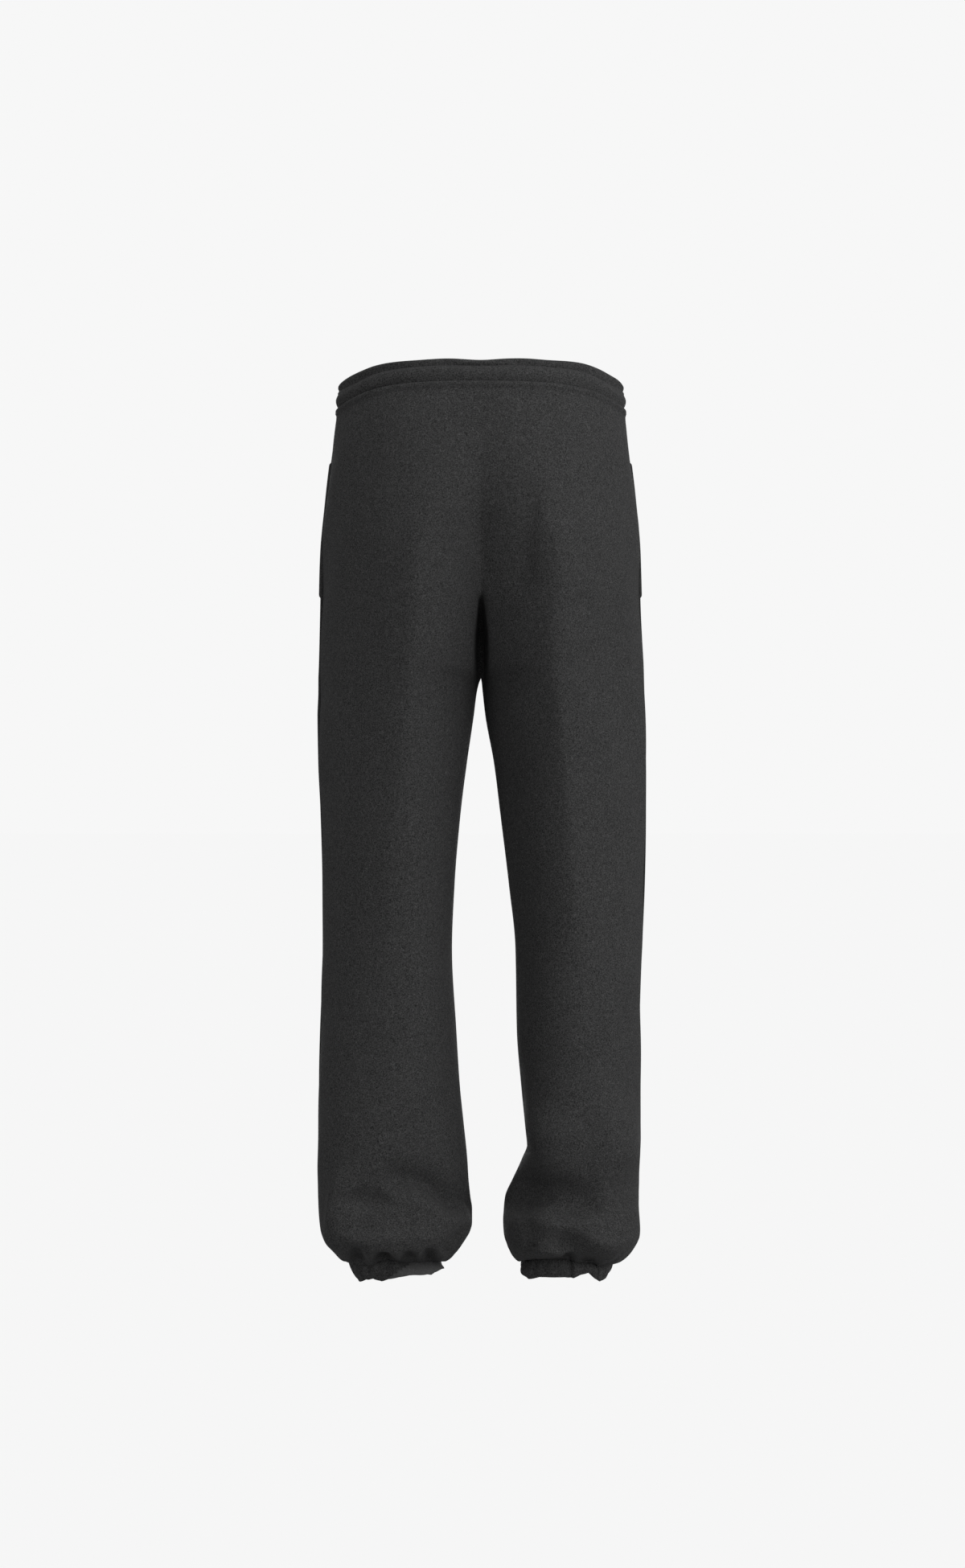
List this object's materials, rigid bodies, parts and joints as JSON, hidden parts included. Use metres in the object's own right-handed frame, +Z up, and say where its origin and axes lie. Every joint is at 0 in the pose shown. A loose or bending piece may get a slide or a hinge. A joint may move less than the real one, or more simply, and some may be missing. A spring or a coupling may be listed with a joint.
{
  "type": "jogger sweatpants",
  "caption": "Charcoal fleece jogger sweatpants in worn, hollow form, with a three-roll elastic waistband, side seam pockets and full ankles gathered into elastic hems.",
  "frame": {"origin": "the centre of the waist opening, level with the top of the waistband at the side seams", "axes": "+Z up the wearer's body; -Y is the back, or seat, of the trousers and +Y the front; the wearer's left leg is at -X and the right leg at +X"},
  "size_m": [0.376, 0.2548, 1.0327],
  "materials": {
    "fleece": "brushed charcoal heather fleece",
    "hem": "the same fleece gathered over elastic",
    "pocketing": "plain jersey, darker than the fleece"
  },
  "bodies": {
    "root": {"waistband": "fleece", "back_leg_left": "fleece", "back_leg_right": "fleece", "front_leg_left": "fleece", "front_leg_right": "fleece", "hem_casing_left": "hem", "hem_casing_right": "hem", "pocket_edge_left": "fleece", "pocket_edge_right": "fleece", "pocket_bag_left": "pocketing", "pocket_bag_right": "pocketing"}
  },
  "joints": []
}
